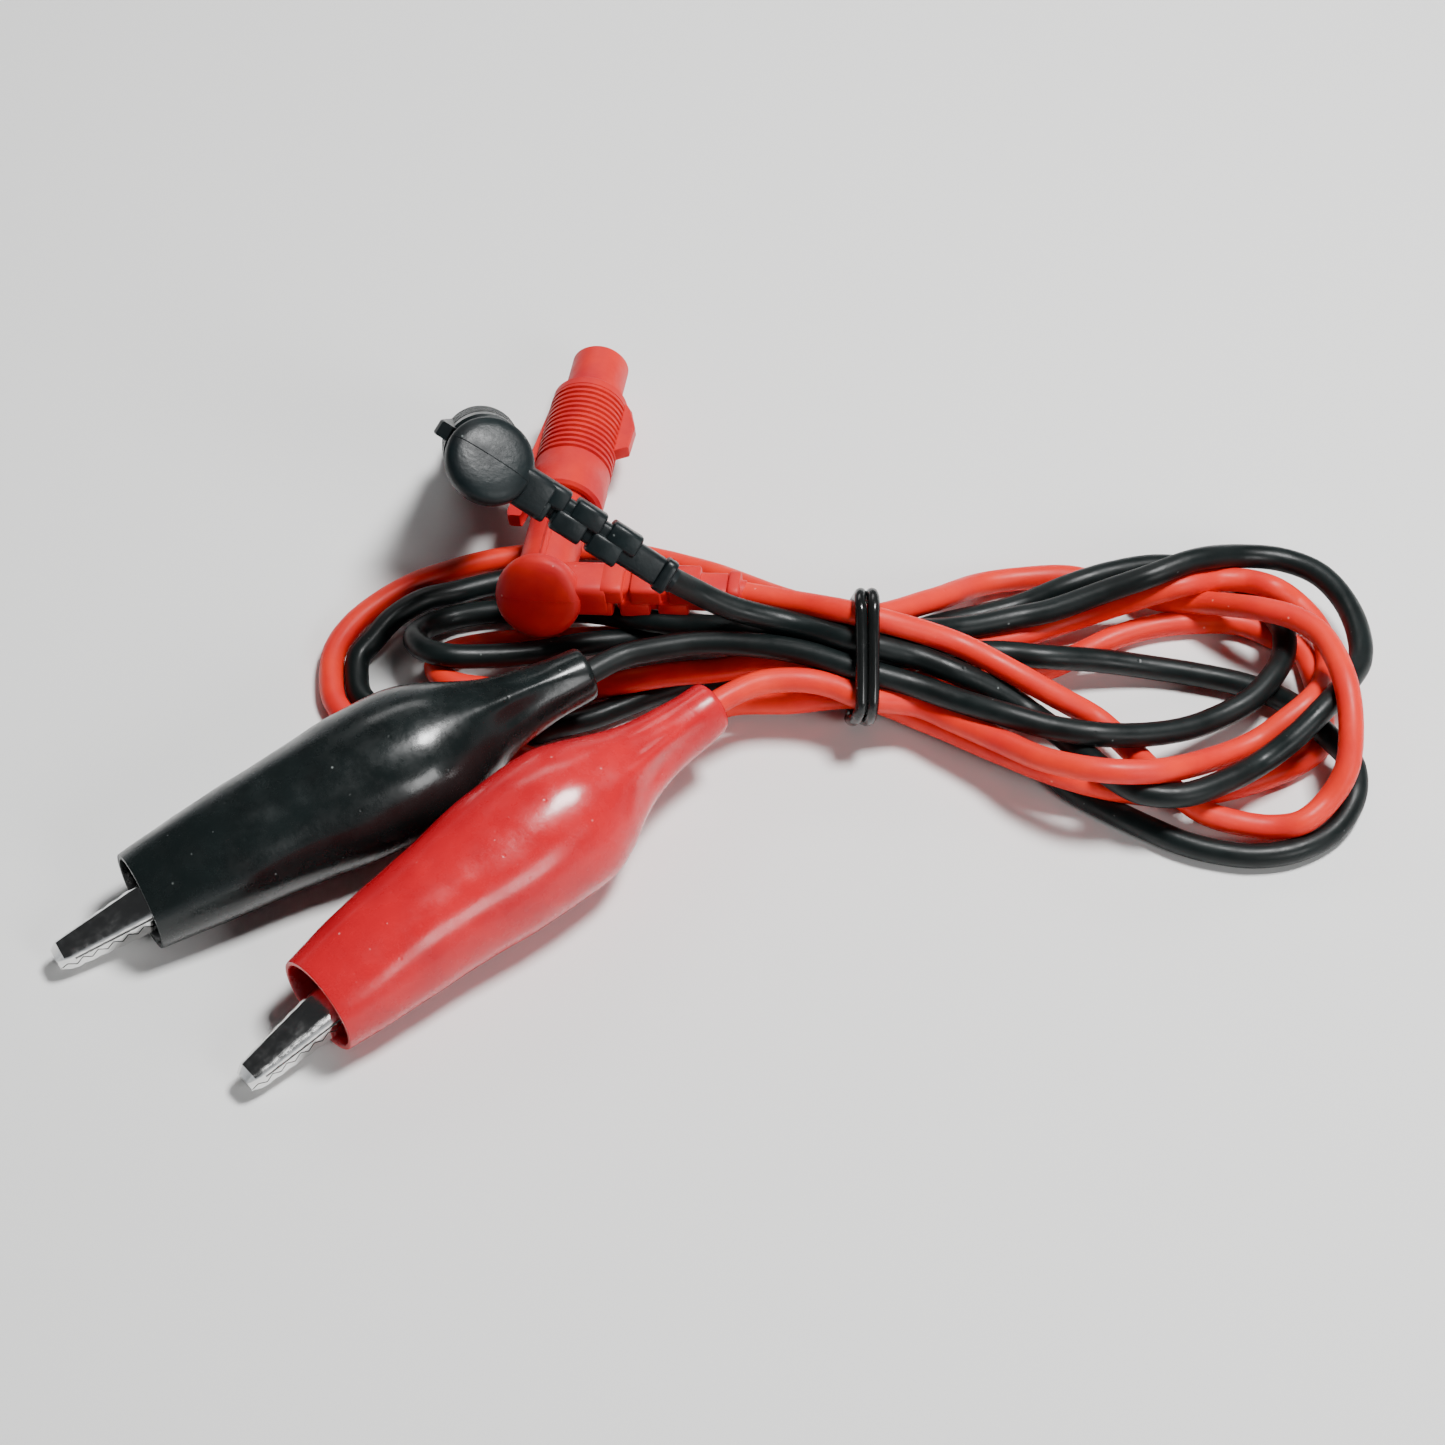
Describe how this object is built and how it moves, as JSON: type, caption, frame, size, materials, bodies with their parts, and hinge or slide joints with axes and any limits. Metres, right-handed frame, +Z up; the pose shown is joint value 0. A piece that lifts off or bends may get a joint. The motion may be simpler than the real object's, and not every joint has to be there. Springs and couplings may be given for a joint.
{
  "type": "alligator clip lead",
  "caption": "Pair of test leads with sleeved spring clips at one end and shrouded right-angle plugs at the other, wound in a tied hank.",
  "frame": {"origin": "on the table, under the middle of the box round everything but the two wires", "axes": "+Z up, +X towards the loops of the hank, +Y from the clips towards the plugs' noses"},
  "size_m": [0.1981, 0.1374, 0.0451],
  "materials": {
    "red_pvc": "glossy soft PVC",
    "black_pvc": "glossy soft PVC",
    "plated_steel": "bright nickel plate",
    "nickel": "nickel plate",
    "copper": "bare strands",
    "tie_plastic": "glossy"
  },
  "bodies": {
    "leads": {"red_boot": "red_pvc", "red_lower_jaw": "plated_steel", "red_pivot_rivet": "plated_steel", "red_jaw_spring": "plated_steel", "red_conductor": "copper", "red_wire": "red_pvc", "red_plug_body": "red_pvc", "red_banana_pin": "nickel", "red_contact_spring": "nickel", "red_return_spring": "plated_steel", "black_boot": "black_pvc", "black_lower_jaw": "plated_steel", "black_pivot_rivet": "plated_steel", "black_jaw_spring": "plated_steel", "black_conductor": "copper", "black_wire": "black_pvc", "black_plug_body": "black_pvc", "black_banana_pin": "nickel", "black_contact_spring": "nickel", "black_return_spring": "plated_steel", "tie": "tie_plastic"},
    "red_jaw": {"red_upper_jaw": "plated_steel"},
    "black_jaw": {"black_upper_jaw": "plated_steel"},
    "red_shroud": {"red_plug_sleeve": "red_pvc"},
    "black_shroud": {"black_plug_sleeve": "black_pvc"}
  },
  "joints": [
    {"name": "red_jaw_hinge", "type": "hinge", "parent": "leads", "child": "red_jaw", "pos_m": [-0.00366, -0.04269, 0.00884], "axis": [-0.6756, 0.7373, 0], "range_deg": [0, 11], "stiffness_Nm_per_rad": 0.05, "springref_deg": -20.05, "deforming": ["red_jaw_spring"]},
    {"name": "black_jaw_hinge", "type": "hinge", "parent": "leads", "child": "black_jaw", "pos_m": [-0.02852, -0.02824, 0.00884], "axis": [-0.5105, 0.8599, 0], "range_deg": [0, 11], "stiffness_Nm_per_rad": 0.05, "springref_deg": -20.05, "deforming": ["black_jaw_spring"]},
    {"name": "red_shroud_slide", "type": "slide", "parent": "leads", "child": "red_shroud", "axis": [-0.151, -0.9853, 0.08], "range_m": [0, 0.009], "stiffness_N_per_m": 60, "springref_m": -0.004, "deforming": ["red_return_spring"]},
    {"name": "black_shroud_slide", "type": "slide", "parent": "leads", "child": "black_shroud", "axis": [0.1, -0.716, 0.691], "range_m": [0, 0.009], "stiffness_N_per_m": 60, "springref_m": -0.004, "deforming": ["black_return_spring"]}
  ]
}
